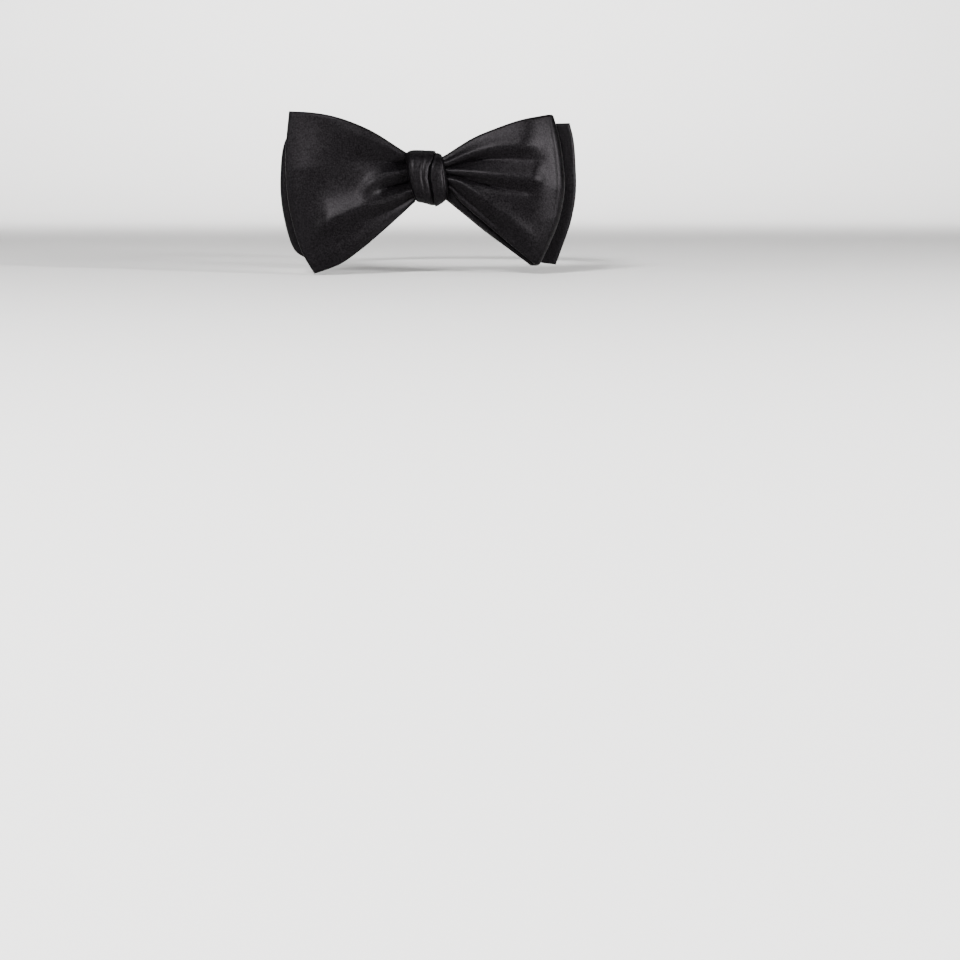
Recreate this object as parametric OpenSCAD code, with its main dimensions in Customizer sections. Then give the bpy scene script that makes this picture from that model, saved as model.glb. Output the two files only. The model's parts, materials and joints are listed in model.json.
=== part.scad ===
// Self-tie bow tie, tied and closed, with a hook-and-eye neckband.
// The origin is on the neck's axis at the band's mid-height. +Z is up and the bow faces -Y.
// Band angles ("at b degrees") run from the back of the neck, positive towards +X.

/* [Bow] */
// Width over both wings
bow_w = 130; // [110:1:150]
// Height of the front blade end, corner to corner
bow_h = 71; // [58:1:86]
// Thickness of a blade end: satin, interlining and satin
blade_t = 2.4; // [2:0.1:3.2]
// Thickness of one satin ply
satin_t = 0.5; // [0.4:0.05:0.6]
// Width of the turned seam round a blade end
seam_w = 2.5; // [1.5:0.1:4]
// Depth of the folded front loop, front to back
front_loop_d = 8; // [7:0.1:9]
// Depth of the folded rear loop, front to back
rear_loop_d = 6.6; // [6:0.1:7]
// Free space between the front and rear bows
bow_gap = 1.6; // [1.2:0.1:2.4]

/* [Knot] */
// Width of the knot
knot_w = 18; // [14:0.5:22]
// How much taller the knot is than the band
knot_over = 6; // [5:0.5:10]
// Thickness of the satin wrapped round the knot
wrap_t = 1; // [0.8:0.1:1.2]
// Thickness of the interlining under it
wrap_core_t = 0.8; // [0.6:0.1:1]

/* [Neckband] */
// Inside radius of the closed band
neck_r = 62.5; // [52:0.5:76]
// Height of the band
strap_w = 19; // [16:0.5:20]
// Thickness of the band: satin, interlining and satin
strap_t = 1.6; // [1.3:0.1:2]
// Thickness of the satin sleeve of the band
sleeve_t = 0.35; // [0.25:0.05:0.45]
// Thickness of the ply that doubles back to the slider
return_t = 1.2; // [0.9:0.1:1.5]

/* [Clasp] */
// Wire of the eye and of the hook's bar
wire_d = 1.5; // [1.2:0.1:1.8]
// Clear length of the eye's window
eye_len = 7; // [6:0.5:9]
// Width of the hook's tongue
tongue_w = 9; // [7:0.5:13]
// Thickness of the hook's tongue
tongue_t = 1; // [0.8:0.1:1.2]
// Slack between the hook's lip and the eye's wire
clasp_slack = 2.2; // [2:0.1:3]
// Thickness of the slider's bars
bar_t = 0.9; // [0.8:0.1:1.2]
// Length of the slider along the band
slider_len = 11; // [9:0.5:13]
// Length of band that is doubled, from the eye to the slider
doubled_len = 37; // [30:1:45]

/* [Hidden] */
$fn = 48;

satin = [0.05, 0.048, 0.055];
lining = [0.07, 0.067, 0.075];
canvas = [0.82, 0.78, 0.7];
metal = [0.72, 0.72, 0.74];
thread = [0.1, 0.1, 0.11];

play = 0.2;       // between cloth and metal
ease = 0.3;       // between layers of cloth that slide on each other
joint_gap = 0.3;  // between parts of two bodies that meet
touch = 0.05;     // between parts of one body that meet

// How far the wings bend away from each other
front_flex = 20;
rear_flex = 8;
// Gap at the root of a wing d deep that bends by a degrees
function root_gap(d, a) = (joint_gap + d / 2 * sin(a)) / cos(a);
// Gap that lets the square end of a strap turn
strap_gap = joint_gap + strap_t / 2;

// Band angles of the places where the band bends
side_b = 90;
tail_b = 40;

// Radii through the doubled stretch, from the neck outwards
r_out = neck_r + strap_t;
r_bar = neck_r + return_t + play;
r_fold_top = r_bar + bar_t + play + return_t;
r_lead = r_fold_top + ease;
r_lead_out = r_lead + strap_t;
r_side_bar = r_lead_out + ease;
r_slider_out = r_side_bar + bar_t;
r_eye = (neck_r + r_lead_out) / 2;
function deg(mm) = mm / r_eye * 180 / PI;
bridge_half = asin(knot_w / 2 / neck_r);

// Band angles through the clasp
adjust_max = 9;
eye_far_b = -deg(tongue_t / 2 + clasp_slack + wire_d / 2);
eye_near_b = eye_far_b + deg(eye_len + wire_d);
slider_b = eye_near_b + deg(doubled_len);
slider_half_b = deg(slider_len / 2);
lead_end_b = eye_near_b + adjust_max + deg(3);
step_start_b = slider_b + 2 * adjust_max + slider_half_b + 2;
step_end_b = step_start_b + 12;

// The knot, from the band outwards. Its hollow's rounded corners stay clear of the band's edges.
knot_h = strap_w + knot_over;
wrap_total = wrap_t + wrap_core_t + touch;
wrap_corner = 5;
hollow_corner = wrap_corner - wrap_total;
corner_reach = max(0, strap_w / 2 + touch - (knot_h / 2 - wrap_total - hollow_corner));
corner_drop = hollow_corner - sqrt(max(0, pow(hollow_corner, 2) - pow(corner_reach, 2)));
knot_back = neck_r * cos(bridge_half) - touch - corner_drop - wrap_total;
rear_y = -(r_out + touch + rear_loop_d / 2);
front_y = rear_y - rear_loop_d / 2 - bow_gap - front_loop_d / 2;
knot_front = front_loop_d / 2 - front_y + touch + wrap_total;
knot_d = knot_front - knot_back;
waist_h = knot_h - 2 * wrap_total - 2 * touch;

function cubic(p, q, r, s, t) =
  p * pow(1 - t, 3) + 3 * q * t * pow(1 - t, 2) + 3 * r * t * t * (1 - t) + s * pow(t, 3);
function curve(p, q, r, s, n = 10) = [for (i = [0:n - 1]) cubic(p, q, r, s, i / n)];
function part_way(p, q, u, v) = [p[0] + (q[0] - p[0]) * u, p[1] + (q[1] - p[1]) * v];

// Outline of one wing in the bow's plane, as [x, z], for a wing that points to +X.
// corners is [root top, tip top, tip bottom, root bottom]. inset draws the tip in towards the
// knot, and spill lets the outline run past its top, bottom and root.
function wing_outline(corners, inset = 0, spill = 0) =
  let (
    rt = corners[0] + [-spill, spill],
    tt = corners[1] + [-inset, spill],
    tb = corners[2] + [-inset, -spill],
    rb = corners[3] + [-spill, -spill],
    tip_h = tt[1] - tb[1]
  ) concat(
    curve(rt, part_way(rt, tt, 0.32, 0.6), part_way(rt, tt, 0.64, 0.93), tt),
    curve(tt, tt + [4, -0.34 * tip_h], tb + [11, 0.28 * tip_h], tb),
    curve(tb, part_way(tb, rb, 0.2, 0.04), part_way(tb, rb, 0.59, 0.47), rb),
    [rb]
  );

half_w = bow_w / 2;
root_h = knot_h / 2;
function wing(d, a, top, tip_top, tip_bottom, bottom) = [
  [knot_w / 2 + root_gap(d, a), top * root_h],
  [half_w - tip_top[0], tip_top[1] * bow_h],
  [half_w - tip_bottom[0], -tip_bottom[1] * bow_h],
  [knot_w / 2 + root_gap(d, a), -bottom * root_h]
];
front_blade = wing(blade_t, front_flex, 0.88, [4.4, 0.41], [15.4, 0.59], 1.14);
front_loop = wing(front_loop_d, front_flex, 0.86, [10.2, 0.385], [17, 0.53], 0.8);
rear_blade = wing(blade_t, rear_flex, 0.8, [2.4, 0.34], [8.8, 0.54], 0.8);
rear_loop = wing(rear_loop_d, rear_flex, 0.8, [8, 0.35], [13, 0.5], 0.9);

// A plate in the bow's plane, side +1 or -1 in X, its middle at y and t thick
module plate(points, side, y, t)
  scale([side, 1, 1])
    translate([0, y + t / 2, 0])
      rotate([90, 0, 0])
        linear_extrude(height = t) polygon(points);

// A blade end's face (dir -1) and lining (dir 1) are trays that meet at the seam
module blade_tray(corners, side, y, dir) {
  half = blade_t / 2;
  hollow = half - satin_t;
  difference() {
    plate(wing_outline(corners), side, y + dir * half / 2, half - touch);
    plate(wing_outline(corners, seam_w, -seam_w), side, y + dir * hollow / 2, hollow + 2 * touch);
  }
}

// The interlining between them, held in the seam
module blade_core(corners, side, y) {
  t = blade_t - 2 * satin_t - 2 * touch;
  plate(wing_outline(corners, seam_w + touch, -seam_w - touch), side, y, t);
}

// One ply of a folded loop, between depths a and b under the loop's outer face
module loop_ply(corners, side, y, d, a, b)
  difference() {
    plate(wing_outline(corners, a), side, y, d - 2 * a);
    plate(wing_outline(corners, b, seam_w), side, y, d - 2 * b);
  }
module loop_face(corners, side, y, d) loop_ply(corners, side, y, d, 0, satin_t);
module loop_core(corners, side, y, d)
  loop_ply(corners, side, y, d, satin_t + touch, blade_t - satin_t - touch);
module loop_lining(corners, side, y, d) loop_ply(corners, side, y, d, blade_t - satin_t, blade_t);

// A block bent round the neck, between radii r1 and r2, heights z1 and z2, angles b1 and b2
module arc_block(r1, r2, z1, z2, b1, b2)
  rotate([0, 0, 90 - b2])
    rotate_extrude(angle = b2 - b1)
      translate([r1, z1]) square([r2 - r1, z2 - z1]);

// Places its children at angle b and radius r, with X along the band and Y outwards
module at(b, r) rotate([0, 0, -b]) translate([0, r, 0]) children();

// The band's satin sleeve, and the interlining inside it
edge_t = 2 * sleeve_t;
half_strap = strap_w / 2;
module sleeve(b1, b2, r = neck_r)
  difference() {
    arc_block(r, r + strap_t, -half_strap, half_strap, b1, b2);
    arc_block(r + sleeve_t, r + strap_t - sleeve_t, edge_t - half_strap, half_strap - edge_t, b1 - 1, b2 + 1);
  }
module core(b1, b2, r = neck_r) {
  h = half_strap - edge_t - touch;
  arc_block(r + sleeve_t + touch, r + strap_t - sleeve_t - touch, -h, h, b1, b2);
}

// The right rear strap as one line: at r_lead over the doubled end, then down a step to neck_r
function lead_r(b) =
  let (t = max(0, min(1, (b - step_start_b) / (step_end_b - step_start_b))))
    r_lead + (neck_r - r_lead) * t * t * (3 - 2 * t);
function lead_line(depth, from, to, n = 44) = [
  for (i = [0:n])
    let (b = from + (to - from) * i / n) (lead_r(b) + depth) * [sin(b), cos(b)]
];
module lead_block(inner, outer, h, spill = 0)
  translate([0, 0, -h / 2])
    linear_extrude(height = h)
      polygon(concat(
        lead_line(inner, lead_end_b - spill, side_b + spill),
        lead_line(outer, side_b + spill, lead_end_b - spill)
      ));

// ---- knot ----
module rounded(w, h, r) {
  square([w - 2 * r, h], center = true);
  square([w, h - 2 * r], center = true);
  for (i = [-1, 1], j = [-1, 1])
    translate([i * (w / 2 - r), j * (h / 2 - r)]) circle(r);
}
module knot_extrude(y)
  translate([-knot_w / 2, y, 0])
    rotate([90, 0, 90])
      linear_extrude(height = knot_w) children();

// A ring round the knot, inset from the knot's outside and t thick
module knot_ring(inset, t)
  knot_extrude(-(knot_back + knot_d / 2))
    difference() {
      rounded(knot_d - 2 * inset, knot_h - 2 * inset, wrap_corner - inset);
      rounded(knot_d - 2 * (inset + t), knot_h - 2 * (inset + t), wrap_corner - inset - t);
    }

// The gathered cloth of one bow where it passes through the knot
module waist(y, d)
  knot_extrude(y) rounded(d, waist_h, min(hollow_corner, 0.45 * d));

// ---- left half of the band, which carries the hook ----
hook_lip_u = 6.5;
hook_bar_u = -7;
hook_mid_b = -deg(hook_lip_u);
hook_bar_b = hook_mid_b + deg(hook_bar_u);
fold_r = wire_d / 2 + play + return_t;
hook_fold_b = hook_bar_b - deg(fold_r + 1);
flap_len = 13;
flap_out = r_eye + return_t / 2;
left_front_b = [-180 + bridge_half + deg(joint_gap), -side_b - deg(strap_gap)];
left_rear_b = [-side_b, -tail_b - deg(strap_gap)];
left_end_b = [-tail_b, hook_fold_b];

// The strap's end turned back round the hook's bar and laid on the strap
module hook_fold()
  difference() {
    union() {
      at(hook_bar_b, r_eye) cylinder(h = strap_w, r = fold_r, center = true);
      arc_block(neck_r, r_eye, -half_strap, half_strap, hook_fold_b + deg(touch), hook_bar_b);
      arc_block(r_out + touch, flap_out, -half_strap, half_strap, hook_bar_b - deg(flap_len), hook_bar_b);
    }
    at(hook_bar_b, r_eye) cylinder(h = strap_w + 2, r = wire_d / 2 + play, center = true);
  }

// Rows of stitches across the band, from radius r outwards
stitch_t = 0.35;
module bartack(r, b)
  for (i = [0:2])
    arc_block(r, r + stitch_t, 3 - half_strap, half_strap - 3, b + deg(1.6 * i), b + deg(1.6 * i + 0.8));

// ---- clasp ----
window_h = half_strap + 3 * play;
rail_t = 1.4;
tongue_rise = wire_d / 2 + 1.2;

module hook() at(hook_bar_b, r_eye) {
  riser_u = 4.8;
  lip_u = hook_lip_u - hook_bar_u;
  side_h = 2 * (window_h + rail_t);
  cylinder(h = side_h, d = wire_d, center = true);
  for (z = [window_h, -window_h - rail_t])
    translate([0, -rail_t / 2, z]) cube([riser_u, rail_t, rail_t]);
  translate([riser_u, 0, 0]) cube([rail_t, rail_t, side_h], center = true);
  translate([0, 0, -tongue_w / 2]) linear_extrude(height = tongue_w) {
    translate([riser_u - tongue_t / 2, 0]) square([tongue_t, tongue_rise + tongue_t / 2]);
    translate([riser_u, tongue_rise]) square([lip_u - riser_u, tongue_t]);
    translate([lip_u - tongue_t / 2, -wire_d]) square([tongue_t, tongue_rise + tongue_t / 2 + wire_d]);
    translate([riser_u, tongue_rise + tongue_t / 2]) circle(d = tongue_t);
    translate([lip_u, tongue_rise + tongue_t / 2]) circle(d = tongue_t);
    translate([lip_u, -wire_d]) circle(d = tongue_t);
  }
}

eye_rail_z = window_h + wire_d / 2;
eye_rail_t = wire_d - 0.2;
module eye() {
  half = eye_rail_t / 2;
  for (b = [eye_far_b, eye_near_b])
    at(b, r_eye) cylinder(h = 2 * eye_rail_z + wire_d, d = wire_d, center = true);
  for (z = [-eye_rail_z, eye_rail_z])
    arc_block(r_eye - half, r_eye + half, z - half, z + half, eye_far_b, eye_near_b);
}

// The strap's turn round the eye, with a short lead beyond it
turn_r = (r_lead_out - neck_r) / 2;
eye_lead = 2.4;
function turn_line(r, from, to, n = 16) =
  [for (i = [0:n]) let (a = from + (to - from) * i / n) [-r * cos(a), r * sin(a)]];
module eye_fold()
  at(eye_near_b, r_eye)
    translate([0, 0, -half_strap])
      linear_extrude(height = strap_w)
        polygon(concat(
          [[eye_lead, -turn_r]], turn_line(turn_r, -90, 90), [[eye_lead, turn_r]],
          [[eye_lead, turn_r - return_t]], turn_line(turn_r - return_t, 90, -90), [[eye_lead, return_t - turn_r]]
        ));

// The same strap running back inside itself to the slider
return_start_b = eye_near_b + atan((eye_lead + touch) / neck_r);
return_end_b = slider_b - deg(3.5);
module return_ply()
  arc_block(neck_r, neck_r + return_t, -half_strap, half_strap, return_start_b, return_end_b);

// The slider's frame: two rails, two side bars over the strap and a centre bar under it
slider_bar_w = 2.4;
side_bar_w = 2;
module slider() {
  b1 = slider_b - slider_half_b;
  b2 = slider_b + slider_half_b;
  bar_half_b = deg(slider_bar_w / 2);
  bar_z = window_h + touch;
  for (z = [window_h, -window_h - rail_t])
    arc_block(r_bar - touch, r_slider_out + touch, z, z + rail_t, b1 - deg(touch), b2 + deg(touch));
  for (b = [b1, b2 - deg(side_bar_w)])
    arc_block(r_side_bar, r_slider_out, -bar_z, bar_z, b, b + deg(side_bar_w));
  arc_block(r_bar, r_bar + bar_t, -bar_z, bar_z, slider_b - bar_half_b, slider_b + bar_half_b);
}

// The strap's end turned round the slider's centre bar
module slider_fold() {
  hole_b = deg(slider_bar_w / 2 + play);
  fold_b = hole_b + deg(return_t);
  difference() {
    union() {
      arc_block(neck_r, r_fold_top, -half_strap, half_strap, slider_b - fold_b, slider_b + fold_b);
      arc_block(neck_r, neck_r + return_t, -half_strap, half_strap, return_end_b + deg(joint_gap),
                slider_b - fold_b + deg(touch));
    }
    arc_block(r_bar - play, r_bar + bar_t + play, -strap_w, strap_w, slider_b - hole_b, slider_b + hole_b);
  }
}

// ---- the parts ----
color(satin) knot_ring(0, wrap_t);  // knot_wrap_satin
color(canvas) knot_ring(wrap_t + touch, wrap_core_t);  // knot_wrap_interlining
color(satin) waist(front_y, front_loop_d);  // front_waist
color(satin) waist(rear_y, rear_loop_d);  // rear_waist
color(satin) sleeve(180 - bridge_half + deg(joint_gap), 180 + bridge_half - deg(joint_gap));  // band_bridge

color(satin) blade_tray(front_blade, -1, front_y, -1);  // front_blade_face
color(canvas) blade_core(front_blade, -1, front_y);  // front_blade_interlining
color(lining) blade_tray(front_blade, -1, front_y, 1);  // front_blade_lining
color(satin) loop_face(front_loop, 1, front_y, front_loop_d);  // front_loop_face
color(canvas) loop_core(front_loop, 1, front_y, front_loop_d);  // front_loop_interlining
color(lining) loop_lining(front_loop, 1, front_y, front_loop_d);  // front_loop_lining
color(satin) blade_tray(rear_blade, 1, rear_y, -1);  // rear_blade_face
color(canvas) blade_core(rear_blade, 1, rear_y);  // rear_blade_interlining
color(lining) blade_tray(rear_blade, 1, rear_y, 1);  // rear_blade_lining
color(satin) loop_face(rear_loop, -1, rear_y, rear_loop_d);  // rear_loop_face
color(canvas) loop_core(rear_loop, -1, rear_y, rear_loop_d);  // rear_loop_interlining
color(lining) loop_lining(rear_loop, -1, rear_y, rear_loop_d);  // rear_loop_lining

color(satin) sleeve(left_front_b[0], left_front_b[1]);  // left_front_strap
color(canvas) core(left_front_b[0], left_front_b[1]);  // left_front_interlining
color(satin) sleeve(left_rear_b[0], left_rear_b[1]);  // left_rear_strap
color(canvas) core(left_rear_b[0], left_rear_b[1]);  // left_rear_interlining
color(satin) sleeve(left_end_b[0], left_end_b[1]);  // left_end_strap
color(canvas) core(left_end_b[0], left_end_b[1]);  // left_end_interlining
color(satin) hook_fold();
color(thread) bartack(flap_out + touch, hook_bar_b - deg(flap_len - 2));  // hook_bartack
color(metal) hook();

color(satin) sleeve(side_b + deg(touch), 180 - bridge_half);  // right_front_strap
color(canvas) core(side_b + deg(touch), 180 - bridge_half);  // right_front_interlining
color(canvas)  // size_label
    arc_block(neck_r - touch - 0.4, neck_r - touch, 3.5 - half_strap, half_strap - 3.5, 108, 134);
color(satin)  // right_rear_strap
    difference() {
      lead_block(0, strap_t, strap_w);
      lead_block(sleeve_t, strap_t - sleeve_t, strap_w - 2 * edge_t, 1);
    }
color(canvas) lead_block(sleeve_t + touch, strap_t - sleeve_t - touch, strap_w - 2 * (edge_t + touch));  // right_rear_interlining

color(metal) eye();
color(satin) eye_fold();
color(satin) return_ply();
color(metal) slider();
color(satin) slider_fold();
color(thread) bartack(neck_r - touch - stitch_t, slider_b + deg(0.2));  // slider_bartack
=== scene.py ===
"""A tied black satin bow tie on an adjustable neckband. Lengths in the code are in millimetres."""

import json
import math

import bpy
import numpy as np
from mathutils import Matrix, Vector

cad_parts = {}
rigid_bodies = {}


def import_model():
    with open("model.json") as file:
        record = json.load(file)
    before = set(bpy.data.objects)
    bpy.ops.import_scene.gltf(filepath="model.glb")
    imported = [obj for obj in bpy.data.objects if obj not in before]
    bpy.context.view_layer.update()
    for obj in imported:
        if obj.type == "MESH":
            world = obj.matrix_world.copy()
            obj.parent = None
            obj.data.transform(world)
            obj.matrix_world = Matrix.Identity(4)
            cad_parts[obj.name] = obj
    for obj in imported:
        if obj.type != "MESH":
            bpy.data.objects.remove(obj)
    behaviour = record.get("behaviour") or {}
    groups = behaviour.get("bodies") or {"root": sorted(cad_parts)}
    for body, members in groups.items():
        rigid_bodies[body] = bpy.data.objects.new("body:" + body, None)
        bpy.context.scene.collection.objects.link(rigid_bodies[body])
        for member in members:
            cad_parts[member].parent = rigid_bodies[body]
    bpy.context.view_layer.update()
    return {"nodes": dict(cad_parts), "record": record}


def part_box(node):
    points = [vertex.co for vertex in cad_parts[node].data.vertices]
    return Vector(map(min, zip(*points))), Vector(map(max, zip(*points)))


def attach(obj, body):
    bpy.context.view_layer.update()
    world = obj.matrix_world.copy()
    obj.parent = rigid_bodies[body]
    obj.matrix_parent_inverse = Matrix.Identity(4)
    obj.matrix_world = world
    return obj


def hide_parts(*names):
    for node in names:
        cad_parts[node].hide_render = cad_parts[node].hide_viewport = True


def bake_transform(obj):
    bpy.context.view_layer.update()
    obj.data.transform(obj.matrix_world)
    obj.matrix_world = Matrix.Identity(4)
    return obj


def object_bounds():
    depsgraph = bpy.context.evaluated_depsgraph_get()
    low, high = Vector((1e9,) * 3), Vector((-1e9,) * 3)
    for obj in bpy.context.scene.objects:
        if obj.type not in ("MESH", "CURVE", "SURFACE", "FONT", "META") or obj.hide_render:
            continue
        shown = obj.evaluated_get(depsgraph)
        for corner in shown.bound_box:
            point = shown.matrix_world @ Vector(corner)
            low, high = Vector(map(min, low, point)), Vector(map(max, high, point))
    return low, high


for thing in list(bpy.data.objects):
    bpy.data.objects.remove(thing)
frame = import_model()
joints = {j["name"]: j for j in frame["record"]["behaviour"]["joints"]}
MM = 0.001
EDGE_CROWDING = 0.11  # how strongly a grid's lines crowd towards its sewn edges


def node_box(name):
    lo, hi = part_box(name)
    return np.array(lo) / MM, np.array(hi) / MM


def joint_at(name):
    return np.array(joints[name]["pos_m"]) / MM


# ---------------------------------------------------------------- curves and grids
def smooth(t):
    t = np.clip(t, 0, 1)
    return t * t * (3 - 2 * t)


def spline(points, t):
    """A smooth curve through points, evenly paced, at each t from 0 to 1."""
    p = np.array(points, float)
    step = np.r_[0, np.cumsum(np.linalg.norm(np.diff(p, axis=0), axis=1))]
    pos = np.interp(np.linspace(0, 1, 40 * len(p)), step / step[-1], np.arange(len(p)))
    i = np.clip(pos.astype(int), 0, len(p) - 2)
    f = (pos - i)[:, None]
    q = np.vstack([2 * p[0] - p[1], p, 2 * p[-1] - p[-2]])
    a, b, c, d = q[i], q[i + 1], q[i + 2], q[i + 3]
    line = 0.5 * (2 * b + (c - a) * f + (2 * a - 5 * b + 4 * c - d) * f**2 + (3 * b - a - 3 * c + d) * f**3)
    run = np.r_[0, np.cumsum(np.linalg.norm(np.diff(line, axis=0), axis=1))]
    return np.stack([np.interp(t, run / run[-1], line[:, k]) for k in range(p.shape[1])], -1)


def coons(bottom, top, root, tip, u, v):
    """A patch with these four edges, as an array over u and v."""
    b, t = spline(bottom, u)[:, None], spline(top, u)[:, None]
    r, e = spline(root, v)[None], spline(tip, v)[None]
    uu, vv = u[:, None, None], v[None, :, None]
    corners = (1 - uu) * ((1 - vv) * r[:, :1] + vv * r[:, -1:]) + uu * ((1 - vv) * e[:, :1] + vv * e[:, -1:])
    return (1 - vv) * b + vv * t + (1 - uu) * r + uu * e - corners


def paced(n):
    """n values from 0 to 1, packed close together near both ends, which are sewn edges."""
    t = np.linspace(0, 1, n)
    return t - EDGE_CROWDING * np.sin(2 * math.pi * t)


def mesh(name, grid, material, body=None, close_u=False, flip=False, caps=False):
    """A mesh from a grid of points in millimetres."""
    nu, nv = grid.shape[:2]
    faces = []
    for i in range(nu if close_u else nu - 1):
        k = (i + 1) % nu
        for j in range(nv - 1):
            f = (i * nv + j, k * nv + j, k * nv + j + 1, i * nv + j + 1)
            faces.append(f[::-1] if flip else f)
    if caps:
        faces.append([i * nv for i in range(nu)])
        faces.append([i * nv + nv - 1 for i in range(nu)][::-1])
    data = bpy.data.meshes.new(name)
    data.from_pydata((grid.reshape(-1, 3) * MM).tolist(), [], faces)
    data.polygons.foreach_set("use_smooth", [True] * len(faces))
    data.materials.append(material)
    data.update()
    obj = bpy.data.objects.new(name, data)
    bpy.context.scene.collection.objects.link(obj)
    if body:
        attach(obj, body)
    return obj


def normals(grid):
    """The unit normal at each point of a grid."""
    du = np.gradient(grid, axis=0)
    dv = np.gradient(grid, axis=1)
    n = np.cross(du, dv)
    return n / np.maximum(np.linalg.norm(n, axis=2, keepdims=True), 1e-9)


def along(grid, axis):
    """How far each point lies from the grid's start, measured on the cloth."""
    step = np.linalg.norm(np.diff(grid, axis=axis), axis=2)
    pad = [(0, 0), (0, 0)]
    pad[axis] = (1, 0)
    return np.pad(np.cumsum(step, axis=axis), pad)


# ---------------------------------------------------------------- materials
def nodes_of(mat):
    mat.use_nodes = True
    tree = mat.node_tree
    return tree, tree.nodes["Principled BSDF"]


def add(tree, kind, **values):
    node = tree.nodes.new(kind)
    for key, value in values.items():
        if key in node.inputs:
            node.inputs[key].default_value = value
        else:
            setattr(node, key, value)
    return node


CLOTH_GRAIN = 1500.0  # scale of the fine unevenness in every cloth
CLOTH_BUMP = 0.8


def cloth_material(name, dark, light, rough, sheen, weave, gloss=0.35):
    """Woven cloth: threads on the bias, and a fine grain that varies colour, roughness and gloss."""
    mat = bpy.data.materials.new(name)
    tree, bsdf = nodes_of(mat)
    link = tree.links.new
    where = add(tree, "ShaderNodeTexCoord")
    bias = add(tree, "ShaderNodeMapping")
    bias.inputs["Rotation"].default_value = (0, math.radians(45), 0)
    bias.inputs["Scale"].default_value = (1, 1, 0.12)
    link(where.outputs["Object"], bias.inputs["Vector"])
    threads = add(tree, "ShaderNodeTexNoise", Scale=weave, Detail=3.0, Roughness=0.6)
    link(bias.outputs["Vector"], threads.inputs["Vector"])
    fine = add(tree, "ShaderNodeTexNoise", Scale=CLOTH_GRAIN, Detail=3.0, Roughness=0.7)
    broad = add(tree, "ShaderNodeTexNoise", Scale=60.0, Detail=3.0, Roughness=0.5)
    for node in (fine, broad):
        link(where.outputs["Object"], node.inputs["Vector"])
    mixed = add(tree, "ShaderNodeMath", operation="MULTIPLY_ADD")
    link(fine.outputs["Fac"], mixed.inputs[0])
    mixed.inputs[1].default_value = 0.75
    lower = add(tree, "ShaderNodeMath", operation="MULTIPLY")
    lower.inputs[1].default_value = 0.25
    link(broad.outputs["Fac"], lower.inputs[0])
    link(lower.outputs[0], mixed.inputs[2])
    ramp = add(tree, "ShaderNodeValToRGB")
    ramp.color_ramp.elements[0].position = 0.3
    ramp.color_ramp.elements[1].position = 0.72
    ramp.color_ramp.elements[0].color = (*dark, 1)
    ramp.color_ramp.elements[1].color = (*light, 1)
    link(mixed.outputs[0], ramp.inputs["Fac"])
    link(ramp.outputs["Color"], bsdf.inputs["Base Color"])
    spread = add(tree, "ShaderNodeMapRange")
    spread.inputs["From Min"].default_value = 0.3
    spread.inputs["From Max"].default_value = 0.7
    spread.inputs["To Min"].default_value = rough - 0.1
    spread.inputs["To Max"].default_value = rough + 0.1
    link(mixed.outputs[0], spread.inputs["Value"])
    link(spread.outputs["Result"], bsdf.inputs["Roughness"])
    relief = add(tree, "ShaderNodeMath", operation="MULTIPLY_ADD")
    relief.inputs[1].default_value = 0.4
    link(threads.outputs["Fac"], relief.inputs[0])
    link(fine.outputs["Fac"], relief.inputs[2])
    lumps = add(tree, "ShaderNodeBump", Strength=CLOTH_BUMP, Distance=0.0001)
    link(relief.outputs[0], lumps.inputs["Height"])
    link(lumps.outputs["Normal"], bsdf.inputs["Normal"])
    glint = add(tree, "ShaderNodeMapRange")
    glint.inputs["From Min"].default_value = 0.35
    glint.inputs["From Max"].default_value = 0.65
    glint.inputs["To Min"].default_value = gloss * 0.45
    glint.inputs["To Max"].default_value = gloss * 1.5
    link(fine.outputs["Fac"], glint.inputs["Value"])
    link(glint.outputs["Result"], bsdf.inputs["Specular IOR Level"])
    bsdf.inputs["Specular Tint"].default_value = (1, 0.94, 1, 1)
    bsdf.inputs["Sheen Weight"].default_value = sheen
    bsdf.inputs["Sheen Roughness"].default_value = 0.5
    bsdf.inputs["Sheen Tint"].default_value = (1, 0.96, 1, 1)
    return mat


def metal_material(name, colour):
    mat = bpy.data.materials.new(name)
    tree, bsdf = nodes_of(mat)
    link = tree.links.new
    where = add(tree, "ShaderNodeTexCoord")
    grain = add(tree, "ShaderNodeTexNoise", Scale=900.0, Detail=5.0, Roughness=0.65)
    link(where.outputs["Object"], grain.inputs["Vector"])
    ramp = add(tree, "ShaderNodeValToRGB")
    ramp.color_ramp.elements[0].color = (*[c * 0.72 for c in colour], 1)
    ramp.color_ramp.elements[1].color = (*colour, 1)
    link(grain.outputs["Fac"], ramp.inputs["Fac"])
    link(ramp.outputs["Color"], bsdf.inputs["Base Color"])
    spread = add(tree, "ShaderNodeMapRange")
    spread.inputs["To Min"].default_value = 0.18
    spread.inputs["To Max"].default_value = 0.42
    link(grain.outputs["Fac"], spread.inputs["Value"])
    link(spread.outputs["Result"], bsdf.inputs["Roughness"])
    lumps = add(tree, "ShaderNodeBump", Strength=0.08, Distance=0.0001)
    link(grain.outputs["Fac"], lumps.inputs["Height"])
    link(lumps.outputs["Normal"], bsdf.inputs["Normal"])
    bsdf.inputs["Metallic"].default_value = 1.0
    return mat


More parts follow.
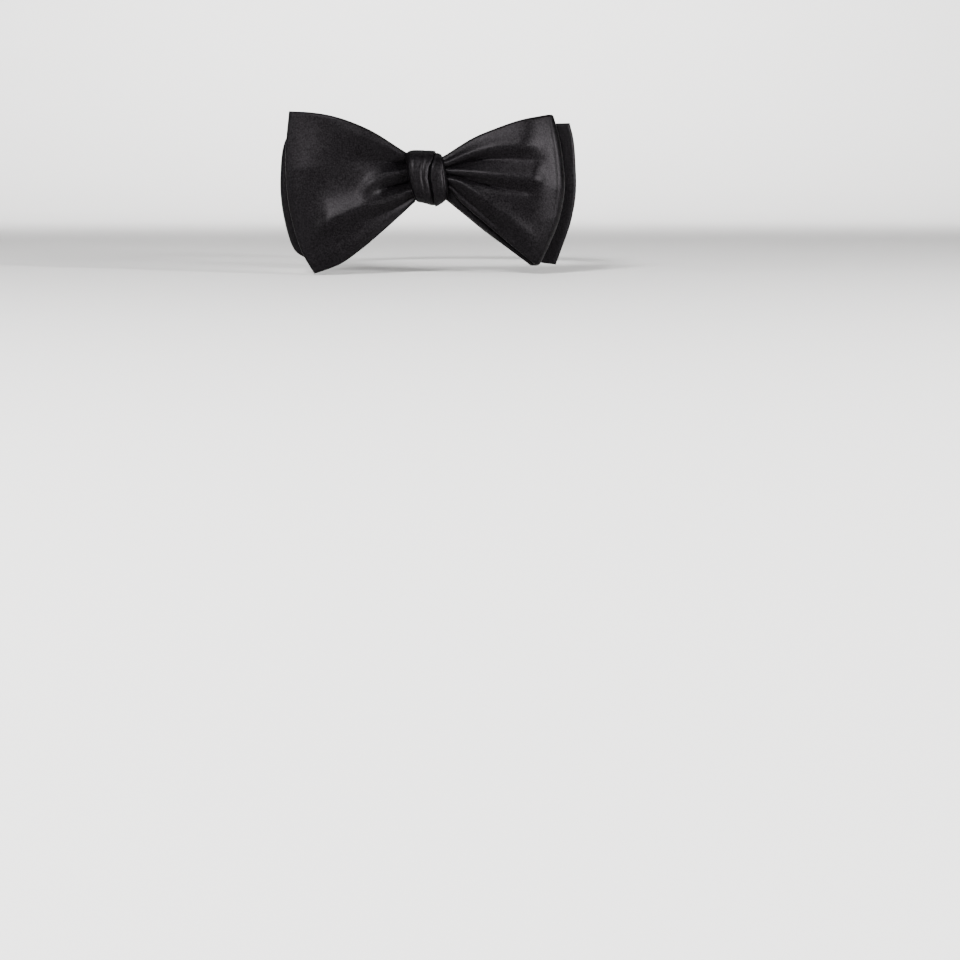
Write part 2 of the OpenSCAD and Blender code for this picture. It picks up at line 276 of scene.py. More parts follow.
SATIN_DARK = (0.0006, 0.0005, 0.0006)
SATIN_LIGHT = (0.003, 0.0026, 0.0031)
SATIN_WEAVE = 5200.0
SATIN_GLOSS = 0.07  # lower than real satin's, to keep its unlit parts black
SATIN = cloth_material("black_satin", SATIN_DARK, SATIN_LIGHT, 0.38, 0.0, SATIN_WEAVE, SATIN_GLOSS)
LINING = cloth_material("black_satin_lining", SATIN_DARK, SATIN_LIGHT, 0.41, 0.0, SATIN_WEAVE, SATIN_GLOSS)
CANVAS = cloth_material("interlining_canvas", (0.42, 0.38, 0.31), (0.66, 0.62, 0.53), 0.85, 0.1, 3000.0)
THREAD = cloth_material("black_thread", (0.01, 0.01, 0.011), (0.03, 0.03, 0.033), 0.6, 0.1, 7000.0)
LABEL = cloth_material("label_tape", (0.016, 0.016, 0.018), (0.04, 0.04, 0.045), 0.75, 0.2, 4000.0)
METAL = metal_material("nickel", (0.62, 0.61, 0.59))

# ---------------------------------------------------------------- the folds of the cloth
# Outlines and ridges are points (x, z) of a wing on the +x side, placed against the
# photo, or guessed where it hides them.
ROOT_X = 5.05  # where a wing's cloth starts, inside the knot and clear of the gathered middle


def ridge(points, height, width, end, fade=6.0, lower=1.0):
    """A fold along points, from the knot outwards, or a groove where its height is negative.

    Height and half-width are given at both its ends. It dies away around x = end, over the
    length fade. Its lower flank is narrower than its upper one by the factor lower.
    """
    return dict(points=np.array(points, float), height=height, width=width, end=end, fade=fade, lower=lower)


def pleats(ridges, x, z):
    """How far the cloth stands forward at each x, z."""
    out = np.zeros_like(x)
    for r in ridges:
        p = r["points"]
        line = spline(p, np.linspace(0, 1, 60))
        slope0 = (line[1] - line[0]) / max(line[1, 0] - line[0, 0], 1e-6)
        slope1 = (line[-1] - line[-2]) / max(line[-1, 0] - line[-2, 0], 1e-6)
        lx = np.r_[line[0, 0] - 12, line[:, 0], line[-1, 0] + 30]
        lz = np.r_[line[0, 1] - 12 * slope0[1] * 0.3, line[:, 1], line[-1, 1] + 30 * slope1[1]]
        t = np.clip((x - p[0, 0]) / (r["end"] - p[0, 0]), 0, 1)
        height = r["height"][0] + (r["height"][1] - r["height"][0]) * t
        width = r["width"][0] + (r["width"][1] - r["width"][0]) * t
        live = 1 - smooth((x - r["end"]) / r["fade"] + 0.5)
        q = (z - np.interp(x, lx, lz)) / width
        q = np.where(q < 0, q / r["lower"], q)
        out += height * live * np.exp(0.086 - (q**2 + 0.03) ** 0.7)
    return out


FRONT_BLADE = dict(
    top=[(ROOT_X, 10.2), (9.2, 11.3), (22.3, 19.6), (31.8, 24), (41.1, 27), (50.5, 28.6), (60.4, 29.2)],
    bottom=[(ROOT_X, -10.5), (13, -17.7), (20.4, -24.2), (28.9, -31.3), (38.3, -37.8), (49.7, -42.1)],
    tip=[(49.7, -42.1), (54.3, -34.3), (57.5, -26.1), (60.8, -12), (62, 3.7), (61.8, 15), (60.4, 29.2)],
    ridges=[
        ridge([(6.8, -6.2), (16.7, -9.8), (22.4, -11.4), (29, -13), (39, -17.2), (47, -21.8)],
              (1.5, 3.4), (1.7, 9.0), 47, 9, 0.8),
        ridge([(9.5, 2.6), (17, 1.3), (22, -1.2), (27, -4.6)], (2.0, 1.8), (1.3, 4.0), 27, 9),
        ridge([(6.5, -1.8), (13, -3.5), (20, -4.8)], (-2.3, -1.9), (1.4, 2.1), 20, 5),
        ridge([(9.5, 6.2), (22, 7.3), (36, 9)], (-1.7, -0.8), (1.3, 5), 36, 20),
        ridge([(6.5, -8.7), (14, -13), (24.9, -18)], (-1.1, -0.7), (1.0, 3.0), 28, 12),
        ridge([(9, 9.2), (20, 15), (31, 19)], (1.0, 0.8), (1.4, 6), 38, 18),
        ridge([(16, -18.5), (30, -27), (44, -34)], (0.3, 1.2), (3, 6.5), 47, 12),
    ],
)
FRONT_LOOP = dict(
    top=[(ROOT_X, 9.4), (7.7, 9.7), (19.9, 17), (30.1, 21.3), (41.4, 25.2), (55.4, 27.6)],
    bottom=[(ROOT_X, -4.5), (10, -5), (15.2, -10.6), (24.5, -18.6), (34, -26.6), (50.2, -38)],
    back_bottom=[(ROOT_X, -9.5), (10, -10.2), (15.2, -14.4), (24.5, -21.9), (34, -29.4), (48.6, -38.6)],
    tip=[(50.2, -38), (53.8, -29.8), (58.4, -18), (60.8, -3.9), (59.6, 11.3), (58.2, 17.8), (55.4, 27.6)],
    ridges=[
        ridge([(8.6, 5.9), (20.8, 10.8), (32, 13.2), (45, 14)], (1.5, 2.2), (1.2, 7.5), 46, 12, 0.5),
        ridge([(9.5, 4.7), (20.8, 7.3), (34, 8.5), (48, 8.4)], (-1.9, -0.8), (0.8, 4.0), 50, 10),
        ridge([(9.5, 2.9), (19.9, 2.1), (34, 0.4), (50, -1.2)], (1.9, 2.1), (1.0, 6.0), 50, 7, 0.45),
        ridge([(9.5, 1.4), (20.8, -1.8), (34, -4.6), (46, -6.2)], (-1.3, -0.9), (0.7, 1.8), 46, 10),
        ridge([(9.5, -0.9), (15, -2.2), (22, -6.8), (30, -12.8), (42, -22)], (1.5, 1.6), (1.2, 5.4), 44, 14),
        ridge([(10.3, -2.9), (16, -7.8), (24, -15), (31, -21)], (-1.3, -0.9), (1.0, 2.6), 34, 12),
    ],
)
REAR_BLADE = dict(
    top=[(ROOT_X, 8.9), (8, 9.2), (20, 14.6), (32, 18.8), (44, 22), (54, 23.9), (63.9, 24.3)],
    bottom=[(ROOT_X, -8.9), (8, -9.4), (17, -16.5), (27, -24.5), (38, -32.2), (47, -36.8), (57.9, -38.6)],
    tip=[(57.9, -38.6), (60.8, -30.7), (64.7, -19.2), (66.8, -7.1), (66.7, 5), (65.8, 16.3), (63.9, 24.3)],
    ridges=[
        ridge([(9, 4), (22, 7), (36, 10), (48, 12)], (1.4, 1.2), (1.3, 4.5), 48, 12),
        ridge([(9, 0.5), (24, 0), (44, -2)], (-1.3, -1.0), (1.2, 4), 46, 12),
        ridge([(9, -3), (22, -8), (40, -17)], (1.4, 1.2), (1.3, 4.5), 42, 12),
        ridge([(9, -6), (20, -13), (30, -20)], (-1.1, -0.8), (1.2, 3.5), 34, 10),
    ],
)
REAR_LOOP = dict(
    top=[(ROOT_X, 8.9), (8, 9.4), (20, 14.4), (32, 18.6), (46, 22.4), (58.6, 24)],
    bottom=[(ROOT_X, -9.3), (8, -10), (18, -17.2), (28, -24), (40, -31), (54, -35.2)],
    back_bottom=[(ROOT_X, -8.9), (8, -9.4), (18, -16.2), (28, -22.6), (40, -29.8), (54, -34.2)],
    tip=[(54.8, -35.6), (59.8, -30.8), (63.2, -20), (65, -8), (64.9, 3), (63.5, 14), (58.6, 24.2)],
    ridges=[
        ridge([(9, 4.5), (22, 8), (38, 11), (48, 12)], (1.1, 1.0), (1.3, 4.2), 47, 12),
        ridge([(9, 1), (24, 1.5), (44, 1)], (-1.1, -0.8), (1.2, 4), 46, 12),
        ridge([(9, -3), (22, -7), (40, -14)], (1.2, 1.0), (1.3, 4.5), 42, 12),
    ],
)

# ---------------------------------------------------------------- the wings
knot_lo, knot_hi = node_box("knot_wrap_satin")
front_y = joint_at("front_blade_bend")[1]
rear_y = joint_at("rear_blade_bend")[1]
PLY = 2.4  # a blade's thickness, seam to seam
EDGE = 1.3  # how far in from a sewn edge the cloth reaches its full thickness
LOOP_PARTS = 3.6  # the x where a loop's two layers begin to part
LOOP_OPEN = 34  # the x where they are fully apart
PRESSED = 1.5  # half the distance between them in the knot


def edge_profile(distance, t):
    """Half the cloth's thickness at this distance from a sewn edge."""
    e = np.clip(distance / EDGE, 0, 1)
    return t / 2 * np.sqrt(np.clip(1 - (1 - e) ** 2.2, 0, 1))


def bow_depth(x):
    """0 in the knot, 1 where the loop is fully open."""
    return smooth((x - LOOP_PARTS) / (LOOP_OPEN - LOOP_PARTS))


def blade_grid(w, nu=110, nv=90):
    """x and z of a blade's points, with the last rows packed close at its sewn end."""
    u = np.linspace(0, 1, nu)
    u = u + 0.02 * np.sin(math.pi * u)
    u = u / u[-1]
    u = np.r_[u[:-6], 1 - (1 - u[-7]) * np.array([0.62, 0.38, 0.22, 0.11, 0.04, 0.0])]
    v = paced(nv)
    root = [w["bottom"][0], w["top"][0]]
    flat = coons(w["bottom"], w["top"], root, w["tip"], u, v)
    return flat[..., 0], flat[..., 1]


def two_faced(grid, side, nodes, sewn_tip):
    """The satin, the interlining and the lining of one wing, from its middle surface."""
    n = normals(grid)
    if n[grid.shape[0] // 3, grid.shape[1] // 2, 1] > 0:
        n = -n
    run_v = along(grid, 1)
    near = np.minimum(run_v, run_v[:, -1:] - run_v)
    if sewn_tip:
        run_u = along(grid, 0)
        near = np.minimum(near, run_u[-1:] - run_u)
    swell = edge_profile(near, PLY)[..., None]
    outer = grid + n * swell
    inner = grid - n * swell
    mid = slice(3, -3)
    end = slice(0, -4) if sewn_tip else slice(0, None)
    parts = [
        (nodes[0], outer, SATIN, "satin"),
        (nodes[1], grid[end, mid], CANVAS, "interlining"),
        (nodes[2], inner, LINING, "lining_satin"),
    ]
    for node, points, material, slot in parts:
        obj = mesh(node + "_cloth", points, material, flip=side < 0)
        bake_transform(obj)
        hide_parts(node)


def make_blade(w, side, y, nodes, lean):
    """A flat wing with a sewn end. side is -1 or 1."""
    x, z = blade_grid(w)
    forward = pleats(w["ridges"], x, z)
    forward += lean(x, z)
    grid = np.stack([side * x, y - forward, z], -1)
    two_faced(grid, side, nodes, True)


def make_loop(w, side, y, depth, nodes, puff, rolled=1.0):
    """Front layer out to the fold, round it, and back into the knot.

    depth is from front to back, puff moves the front layer forward, and rolled is how much of
    loop_roll's turn it has.
    """
    v = paced(90)
    u = np.linspace(0, 1, 84)
    turn = (depth - PLY) / 2
    shares = np.linspace(0, 1, len(w["tip"]))
    back_off = [PLY / 2 + turn * (0.4 + 0.6 * math.sin(math.pi * k) ** 0.6) for k in shares]
    tip = [(p[0] - k, p[1]) for p, k in zip(w["tip"], back_off)]
    layers = []
    for bottom, sign in ((w["bottom"], 1), (w["back_bottom"], -1)):
        end = (bottom[-1][0] - back_off[0], bottom[-1][1])
        edge = [*bottom[:-1], end]
        top = [*w["top"][:-1], (w["top"][-1][0] - back_off[-1], w["top"][-1][1])]
        tips = [end, *tip[1:-1], top[-1]]
        flat = coons(edge, top, [bottom[0], w["top"][0]], tips, u, v)
        x, z = flat[..., 0], flat[..., 1]
        open_ = bow_depth(x)
        roll = rolled * loop_roll(w, x, z)
        if sign > 0:
            forward = pleats(w["ridges"], x, z) + puff(x, z) - roll
        else:
            lower = [dict(r, height=(r["height"][0] * 0.3, r["height"][1] * 0.3)) for r in w["ridges"]]
            forward = -pleats(lower, x, z) - 0.75 * roll
        ends = 0.4 + 0.6 * np.sin(math.pi * v)[None] ** 0.6
        gap = PRESSED + (turn * ends - PRESSED) * open_
        layers.append(np.stack([x, y - sign * gap - forward, z], -1))
    front, back = layers
    a = np.linspace(0, math.pi, 15)[1:-1]
    bend = []
    for t in a:
        mid = (front[-1] + back[-1]) / 2
        half = (front[-1] - back[-1]) / 2
        reach = np.linalg.norm(half[:, 1:2], axis=1, keepdims=True)
        bend.append(mid + half * math.cos(t) + np.array([1.0, 0, 0]) * reach * math.sin(t))
    grid = np.concatenate([front, np.array(bend), back[::-1]])
    grid[..., 0] *= side
    two_faced(grid, side, nodes, False)


def wing_nodes(name):
    return [name + "_face", name + "_interlining", name + "_lining"]


def front_blade_lean(x, z):
    """How far the blade stands forward as a whole: less at its end and its upper corner."""
    upper = smooth((z + 6) / 13)
    back = 1.7 * np.clip((x - 50) / 10, 0, 2) ** 2 * upper
    back = back + 0.14 * np.clip(z - 4, 0, None) * smooth((x - 37) / 21)
    low = 1.1 * np.clip((x - 52) / 8, 0, 2) ** 2 * (1 - upper)
    return 3.2 * smooth((x - 4) / 26) - back - low


def front_loop_puff(x, z):
    return 1.7 * smooth((x - 5) / 24)


def loop_roll(w, x, z):
    """How far the cloth turns back as it nears the fold."""
    tip = np.array(w["tip"])
    reach = np.interp(z, tip[:, 1], tip[:, 0]) - 4
    drop = 2.3 - 0.4 * smooth((-z - 12) / 14)
    return drop * np.clip((x - (reach - 10)) / 10, 0, 1.2) ** 2


def rear_blade_lean(x, z):
    return -1.6 * smooth((x - 6) / 46) - 0.4 * np.sin(z / 15) * smooth(x / 50)


def no_puff(x, z):
    return 0 * x


make_blade(FRONT_BLADE, -1, front_y, wing_nodes("front_blade"), front_blade_lean)
make_loop(FRONT_LOOP, 1, front_y, 8.0, wing_nodes("front_loop"), front_loop_puff)
make_blade(REAR_BLADE, 1, rear_y, wing_nodes("rear_blade"), rear_blade_lean)
make_loop(REAR_LOOP, -1, rear_y, 6.6, wing_nodes("rear_loop"), no_puff,
          rolled=0.0)

# ---------------------------------------------------------------- the knot
# Its left edge, right edge and the crease between its two pleats, as (z, x).
KNOT_LEFT = [(-12.6, -5.2), (-9.7, -5.4), (-3.6, -7.2), (2.3, -8.4), (7, -8.9), (12.5, -9.8)]
KNOT_RIGHT = [(-12.6, 8.4), (-9, 9.1), (-5, 9.5), (0, 9.0), (3.4, 8.5), (9.7, 7.0), (12.5, 6.6)]
KNOT_CREASE = [(-12.6, 3.6), (-9, 3.0), (-5, 2.2), (0, 1.1), (4, 1.5), (9, 3.6), (12.5, 4.6)]


def at_height(table, z):
    """The x of an edge at each z."""
    t = np.array(table)
    return np.interp(z, t[:, 0], t[:, 1])


def knot_front(a, b):
    """How far the two pleats of the knot's front stand out, a and b being 0 to 1 across each."""
    left = 1.9 * np.sqrt(np.clip(1 - (np.abs(a - 0.42) / 0.6) ** 2.2, 0, 1))
    left += 0.2 * np.exp(-(((a - 0.26) / 0.1) ** 2)) - 0.25 * np.exp(-(((a - 0.66) / 0.07) ** 2))
    lens = 2.4 * np.sqrt(np.clip(b / 0.1, 0, 1)) * (1 - 0.35 * smooth((b - 0.2) / 0.8))
    lens -= 0.22 * np.exp(-(((b - 0.76) / 0.045) ** 2))
    return np.where(b > 0, lens, left)


def make_knot():
    """The wrap, as rings round the x axis (phi) by columns across it, and its interlining.

    Across the left pleat a runs from 0 to 1, and then b does across the right one.
    """
    nu, share = 260, 0.56  # share is the left pleat's part of the width
    phi = np.linspace(0, 2 * math.pi, nu, endpoint=False)[:, None]
    a = np.linspace(0, 1, 86)
    a = np.sin((a - 0.5) * math.pi * 0.9) / math.sin(0.45 * math.pi) / 2 + 0.5
    b = np.linspace(0, 1, 68)[1:]
    b = np.r_[0.012, 0.03, 0.055, b[4:]]
    a = np.r_[a, np.ones(len(b))][None]
    b = np.r_[np.zeros(a.shape[1] - len(b)), b][None]
    w = 2 * (a * share + b * (1 - share)) - 1
    depth = (knot_hi[1] - knot_lo[1]) / 2
    mid = (knot_hi[1] + knot_lo[1]) / 2
    cy, sz = np.cos(phi), np.sin(phi)  # cy 1 is the front
    front = smooth((cy + 0.1) / 0.6)
    y = -np.sign(cy) * np.abs(cy) ** 0.5 * depth
    up = 12.4 - 2.2 * smooth((w - 0.05) / 0.14) - 0.5 * smooth((-0.55 - w) / 0.4)
    down = 9.8 + 2.8 * np.exp(-(((w - 0.12) / 0.55) ** 2)) - 0.6 * smooth((w - 0.7) / 0.3)
    z = np.where(sz > 0, up, down) * np.sign(sz) * np.abs(sz) ** 0.62
    left = at_height(KNOT_LEFT, z) + 1.2 * (1 - front)
    right = at_height(KNOT_RIGHT, z) - 1.2 * (1 - front)
    crease = at_height(KNOT_CREASE, z)
    x = left + a * (crease - left) + b * (right - crease)
    roll = np.clip((np.abs(w) - 0.78) / 0.22, 0, 1)
    inward = 2.4 * (1 - np.sqrt(np.clip(1 - roll**2, 0, 1)))
    level = np.clip(np.cos(np.clip(z / 12.6, -1, 1) * math.pi / 2), 0, 1)
    out = knot_front(a, b) * front * (0.35 + 0.65 * np.sqrt(level)) + 1.2 * front * level - inward - 0.6
    n = np.stack([0 * x, -cy + 0 * w, sz + 0 * w], -1)
    grid = np.stack([x, mid + y + 0 * w, z], -1) + n * out[..., None]
    wrap = mesh("knot_wrap", grid, SATIN, "knot", close_u=True)
    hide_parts("knot_wrap_satin")
    inner = grid[:, 14:-14] - n[:, 14:-14] * 1.6
    core = mesh("knot_interlining", inner, CANVAS, "knot", close_u=True, flip=True)
    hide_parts("knot_wrap_interlining")


make_knot()


GATHER_HALF = 5.0  # half the length of the pleated middle


def make_gather(node, y):
    """The middle of a bow, pressed into small pleats where the knot goes round it."""
    z = np.linspace(-6.4, 6.4, 122)
    fold = 1.15 * np.sin(2 * math.pi * z / 2.56)
    front = np.stack([y + fold - 0.3, z], -1)
    back = np.stack([y + fold + 0.3, z], -1)[::-1]
    ring = np.concatenate([front, back])[:, None]
    x = np.linspace(-GATHER_HALF, GATHER_HALF, 12)[None]
    grid = np.stack([x + 0 * ring[..., 0], ring[..., 0] + 0 * x, ring[..., 1] + 0 * x], -1)
    obj = mesh(node + "_gather", grid, SATIN, "knot", close_u=True, caps=True)
    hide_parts(node)


make_gather("front_waist", front_y)
make_gather("rear_waist", rear_y)

# ---------------------------------------------------------------- the neckband
# Paths are lists of (band angle in degrees, radius), as in the CAD: 0 is the back of the neck.
STRAP_H = 19.0
STRAP_T = 1.6
CORE_H = STRAP_H - 2.6  # the interlining stops short of the band's seams
CORE_T = 0.7
SQUARE_ENDS = (False, False)
R_MID = float(np.linalg.norm(joint_at("band_open")))
NECK_R = R_MID - STRAP_T / 2


def polar(b, r):
    a = math.radians(b)
    return np.array([r * math.sin(a), r * math.cos(a), 0.0])


def arc(b0, b1, r0, r1=None, step=1.5):
    """Points from angle b0 to b1, a step of degrees apart, easing from radius r0 to r1."""
    n = max(2, int(abs(b1 - b0) / step))
    r1 = r0 if r1 is None else r1
    f = smooth(np.linspace(0, 1, n))
    return [polar(b, r0 + (r1 - r0) * k) for b, k in zip(np.linspace(b0, b1, n), f)]


def turn(b, r, radius, a0, a1, n=10):
    """Points round a bar at (b, r). 0 degrees is outwards, 90 is towards larger angles."""
    centre, out = polar(b, r), polar(b, 1.0)
    side = polar(b + 90, 1.0)
    angles = np.radians(np.linspace(a0, a1, n))
    return [centre + radius * (math.cos(a) * out + math.sin(a) * side) for a in angles]


def profile(height, t):
    """Half of a strap's section, from its lower edge to its upper edge, as (z, distance out)."""
    flat = height / 2 - t / 2
    z = np.linspace(-flat, flat, 17)
    crown = 1 + 0.12 * (1 - (z / flat) ** 2)
    a = np.radians(np.linspace(90, 0, 7)[1:])
    ends = np.stack([flat + t / 2 * np.cos(a[::-1])[::-1], t / 2 * np.sin(a)], -1)
    face = np.stack([z, t / 2 * crown], -1)
    low = np.stack([-ends[::-1, 0], ends[::-1, 1]], -1)
    return np.vstack([low, face, ends])


def strap(name, path, height, thick, material, shut, seam):
    """A flat sewn strap along a path, closed all round, and the path's length.

    thick is one thickness or several along the path. shut says which ends are pressed flat.
    """
    p = np.array(path, float)
    keep = np.r_[True, np.linalg.norm(np.diff(p, axis=0), axis=1) > 0.05]
    p = p[keep]
    n = len(p)
    stated = np.atleast_1d(np.asarray(thick, float))
    t = np.interp(np.linspace(0, 1, n), np.linspace(0, 1, len(stated)), stated)
    tangent = np.gradient(p, axis=0)
    tangent /= np.linalg.norm(tangent, axis=1, keepdims=True)
    out = np.stack([tangent[:, 1], -tangent[:, 0], 0 * tangent[:, 0]], -1)
    run = np.r_[0, np.cumsum(np.linalg.norm(np.diff(p, axis=0), axis=1))]
    rings = []
    for i in range(n):
        prof = profile(height, t[i])
        back = prof[::-1] * [1, -1]
        if seam:
            groove = 0.3 * np.exp(-((back[:, 0] / 0.5) ** 2))
            back = back + np.stack([0 * groove, groove], -1)
        ring = np.vstack([prof, back[1:-1]])
        z = ring[:, 0] + 0.15 * math.sin(run[i] / 9 + 1)
        rings.append(p[i] + out[i] * ring[:, 1:] + np.stack([0 * z, 0 * z, z], -1))
    grid = np.array(rings)
    for end, closed in zip((0, -1), shut):
        if closed:
            middle = p[end]
            squeezed = middle + (grid[end] - middle) * [1, 1, 0.985]
            squeezed = squeezed - out[end] * ((squeezed - middle) @ out[end])[:, None] * 0.92
            push = tangent[end] * (0.35 if end else -0.35)
            extra = (squeezed + push)[None]
            grid = np.concatenate([grid, extra]) if end else np.concatenate([extra, grid])
    return mesh(name, np.swapaxes(grid, 0, 1), material, close_u=True, caps=True), run[-1]


def band_piece(name, path, nodes, bodies, zone=None, inner=(), shut=SQUARE_ENDS, thick=STRAP_T, seam=True):
    """A stretch of the band and its interlining, riding on one body, or left unattached in place where a
    zone is given.
    """
    obj, length = strap(name, path, STRAP_H, thick, SATIN, shut, seam)
    flat = [(obj, "satin", nodes, STRAP_H)]
    if inner:
        core, _ = strap(name + "_interlining", path, CORE_H, CORE_T, CANVAS, SQUARE_ENDS, False)
        flat.append((core, "interlining", inner, CORE_H))
    for piece, slot, stands_for, height in flat:
        if zone:
            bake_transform(piece)
        else:
            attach(piece, bodies[0])
        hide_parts(*stands_for)


# Sizes of the clasp and the doubled stretch, as in the CAD.
WIRE = 1.5  # the eye's wire and the hook's bar
EYE_LEN = 7  # clear length of the eye's window
TONGUE_T = 1  # the hook's tongue
HOOK_LIP_U = 6.5  # from the back of the neck to the hook's middle
HOOK_BAR_U = -7  # and on from there to its bar
SLIDER_LEN = 11  # along the band
ADJUST_MAX = 9  # degrees of size adjustment
CLASP_SLACK = 2.2  # between the hook's lip and the eye's wire
DOUBLED_LEN = 37  # from the eye to the slider
RETURN_T = 1.2  # the ply that doubles back
BAR_T = 0.9  # the slider's bars
SLIP = 0.3  # between layers of cloth that slide on each other
PLAY = 0.2  # between cloth and metal
r_bar = NECK_R + RETURN_T + PLAY
r_lead = r_bar + BAR_T + PLAY + RETURN_T + SLIP
r_eye = (NECK_R + r_lead + STRAP_T) / 2


def deg(mm):
    """The band angle that a length takes up at the eye's radius."""
    return math.degrees(mm / r_eye)


eye_far = -deg(TONGUE_T / 2 + CLASP_SLACK + WIRE / 2)
eye_near = eye_far + deg(EYE_LEN + WIRE)
slider_b = eye_near + deg(DOUBLED_LEN)
step_start = slider_b + 2 * ADJUST_MAX + deg(SLIDER_LEN / 2) + 2  # past the slider's travel
step_end = step_start + 12
hook_bar = -deg(HOOK_LIP_U - HOOK_BAR_U)
seam_b = -65.0  # where the left band's two stretches meet

band_piece("left_band_front", arc(-179.6, seam_b, R_MID), ["left_front_strap"],
           ("left_front_band", "left_rear_band"), ((-96, R_MID), (-84, R_MID)), ["left_front_interlining"])
bar_turn = WIRE / 2 + PLAY + 0.7
flap = 65.05  # radius of the end that is sewn down beside the hook
rear_path = (
    arc(seam_b, hook_bar - 5, R_MID)
    + arc(hook_bar - 5, hook_bar, R_MID, r_eye - bar_turn, 1.0)[1:]
    + turn(hook_bar, r_eye, bar_turn, 180, 0, 13)[1:]
    + arc(hook_bar - 0.4, hook_bar - 4.6, r_eye + bar_turn, flap, 0.7)
    + arc(hook_bar - 5.2, hook_bar - deg(13), flap, flap, 1.0)
)
band_piece("left_band_rear", rear_path, ["left_rear_strap", "left_end_strap", "hook_fold"],
           ("left_rear_band", "hook_end"), ((-46, R_MID), (-34, R_MID)),
           ["left_rear_interlining", "left_end_interlining"], shut=(False, True),
           thick=[1.6, 1.6, 1.6, 1.6, 1.6, 1.55, 1.4, 1.4, 1.5, 1.65], seam=False)

band_piece("right_band_front", arc(179.6, 90, R_MID)[::-1], ["right_front_strap", "band_bridge"], ("knot",),
           inner=["right_front_interlining"])
fold_turn = (r_lead + STRAP_T - NECK_R) / 2 - RETURN_T / 2
lead_path = (
    arc(90, step_end, R_MID)
    + arc(step_end, step_start, R_MID, r_lead + STRAP_T / 2)[1:]
    + arc(step_start, eye_near + 6, r_lead + STRAP_T / 2)[1:]
    + arc(eye_near + 6, eye_near, r_lead + STRAP_T / 2, r_eye + fold_turn, 1.0)[1:]
    + turn(eye_near, r_eye, fold_turn, 0, -90, 8)[1:]
)
band_piece("right_band_rear", lead_path[::-1], ["right_rear_strap"], ("knot", "eye_end"),
           ((57, R_MID + 3), (9, R_MID + 3)), ["right_rear_interlining"],
           thick=[1.2, 1.5, 1.6, 1.6, 1.6, 1.6, 1.6])
back_path = (
    turn(eye_near, r_eye, fold_turn, -90, -180, 8)
    + arc(eye_near, slider_b - 3.0, NECK_R + RETURN_T / 2)[1:]
)
band_piece("right_band_return", back_path[::-1], ["eye_fold", "return_ply"], ("eye_end", "slider_end"),
           ((eye_near + 3, R_MID), (slider_b - 4, R_MID)), thick=RETURN_T, seam=False)
bar_mid = r_bar + BAR_T / 2
loop_r = bar_mid - NECK_R - RETURN_T / 2
slider_path = (
    arc(slider_b - 3.0, slider_b + deg(1.2), NECK_R + RETURN_T / 2, step=0.7)
    + turn(slider_b + deg(1.2), bar_mid, loop_r, 180, 0, 11)[1:]
    + arc(slider_b + deg(0.8), slider_b - deg(1.6), bar_mid + loop_r, step=0.6)
    + arc(slider_b - deg(1.8), slider_b - deg(4.2), bar_mid + loop_r, bar_mid + 0.1, 0.4)
)
band_piece("slider_loop", slider_path, ["slider_fold"], ("slider_end",), shut=(False, True),
           thick=RETURN_T, seam=False)

# ---------------------------------------------------------------- CAD pieces that stay
for name, material in (("hook", METAL), ("eye", METAL), ("slider", METAL), ("hook_bartack", THREAD),
                       ("slider_bartack", THREAD), ("size_label", LABEL)):
    data = frame["nodes"][name].data
    data.materials.clear()
    data.materials.append(material)

# ---------------------------------------------------------------- floor, lights and camera
shown_lo = np.array(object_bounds()[0])


def plain(name, colour):
    """A matt material with slight unevenness."""
    mat = bpy.data.materials.new(name)
    tree, bsdf = nodes_of(mat)
    speck = add(tree, "ShaderNodeTexNoise", Scale=40.0, Detail=3.0)
    ramp = add(tree, "ShaderNodeValToRGB")
    ramp.color_ramp.elements[0].color = (*[c * 0.97 for c in colour], 1)
    ramp.color_ramp.elements[1].color = (*colour, 1)
    tree.links.new(speck.outputs["Fac"], ramp.inputs["Fac"])
    tree.links.new(ramp.outputs["Color"], bsdf.inputs["Base Color"])
    bsdf.inputs["Roughness"].default_value = 0.9
    return mat


def make_stage():
    """A floor that curves up behind the bow."""
    floor_z = shown_lo[2] - 0.0005
    a = np.linspace(0, math.pi / 2, 16)
    line = [(-5.0, 0.0)] + [(1.2 + 1.4 * math.sin(t), 1.4 - 1.4 * math.cos(t)) for t in a] + [(2.6, 3.2)]
    grid = np.array([[(x, y, floor_z + z) for y, z in line] for x in (-6, 6)]) / MM
    floor = mesh("floor", grid, plain("pale_floor", (0.78, 0.77, 0.76)))


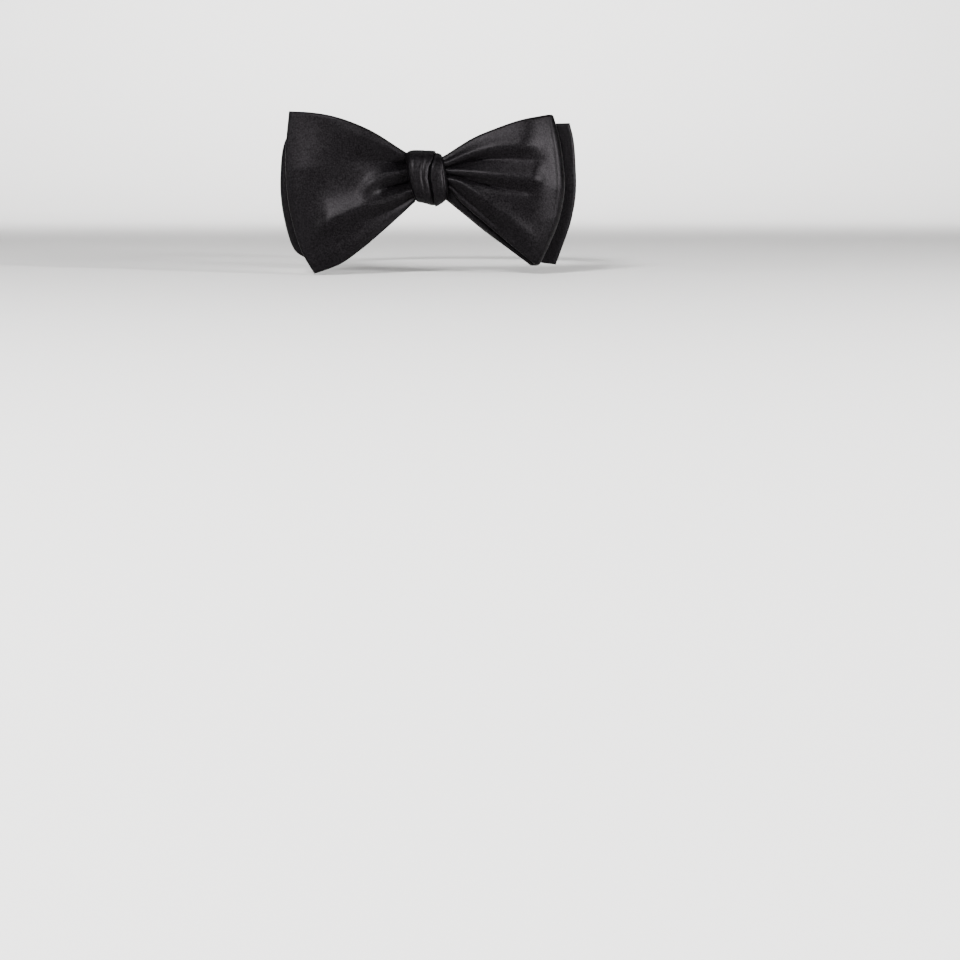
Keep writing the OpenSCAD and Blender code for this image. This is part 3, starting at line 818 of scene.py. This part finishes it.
def light(name, place, aim, size, power, spread=180):
    data = bpy.data.lights.new(name, "AREA")
    data.shape = "RECTANGLE"
    data.size, data.size_y = size
    data.energy = power
    data.spread = math.radians(spread)
    obj = bpy.data.objects.new(name, data)
    bpy.context.scene.collection.objects.link(obj)
    obj.location = place
    obj.rotation_euler = (Vector(aim) - Vector(place)).to_track_quat("-Z", "Y").to_euler()


make_stage()
light("key", (-0.36, -1.2, 0.68), (0, -0.07, 0), (0.36, 0.3), 38)
light("right_window", (0.9, -0.85, 0.2), (0.02, -0.07, 0), (0.14, 0.4), 33)
light("left_window", (-1.0, -0.55, 0.2), (-0.02, -0.07, 0), (0.14, 0.4), 5)
light("top", (0.0, 0.3, 1.4), (0, 0.4, 0), (1.4, 0.5), 5)
light("backdrop", (0.0, 0.9, 1.6), (0, 2.2, 0.2), (2.0, 0.6), 56, spread=110)

# The world is dim, so that satin reflects little of it. Only the camera sees the pale background.
world = bpy.data.worlds.new("studio")
world.use_nodes = True
dim = world.node_tree.nodes["Background"]
dim.inputs["Color"].default_value = (0.92, 0.93, 1.0, 1)
dim.inputs["Strength"].default_value = 0.05
pale = add(world.node_tree, "ShaderNodeBackground", Color=(0.8, 0.8, 0.8, 1), Strength=1.0)
seen = add(world.node_tree, "ShaderNodeLightPath")
both = add(world.node_tree, "ShaderNodeMixShader")
world.node_tree.links.new(seen.outputs["Is Camera Ray"], both.inputs[0])
world.node_tree.links.new(dim.outputs[0], both.inputs[1])
world.node_tree.links.new(pale.outputs[0], both.inputs[2])
world.node_tree.links.new(both.outputs[0], world.node_tree.nodes["World Output"].inputs["Surface"])
bpy.context.scene.world = world

camera_data = bpy.data.cameras.new("camera")
camera_data.lens = 85
camera_data.sensor_width = 36
camera_data.clip_start = 0.05
camera = bpy.data.objects.new("camera", camera_data)
bpy.context.scene.collection.objects.link(camera)
camera.location = (0, -1.087, 0)
camera.rotation_euler = (math.radians(90 - 7.59), 0, math.radians(-1.34))
bpy.context.scene.camera = camera
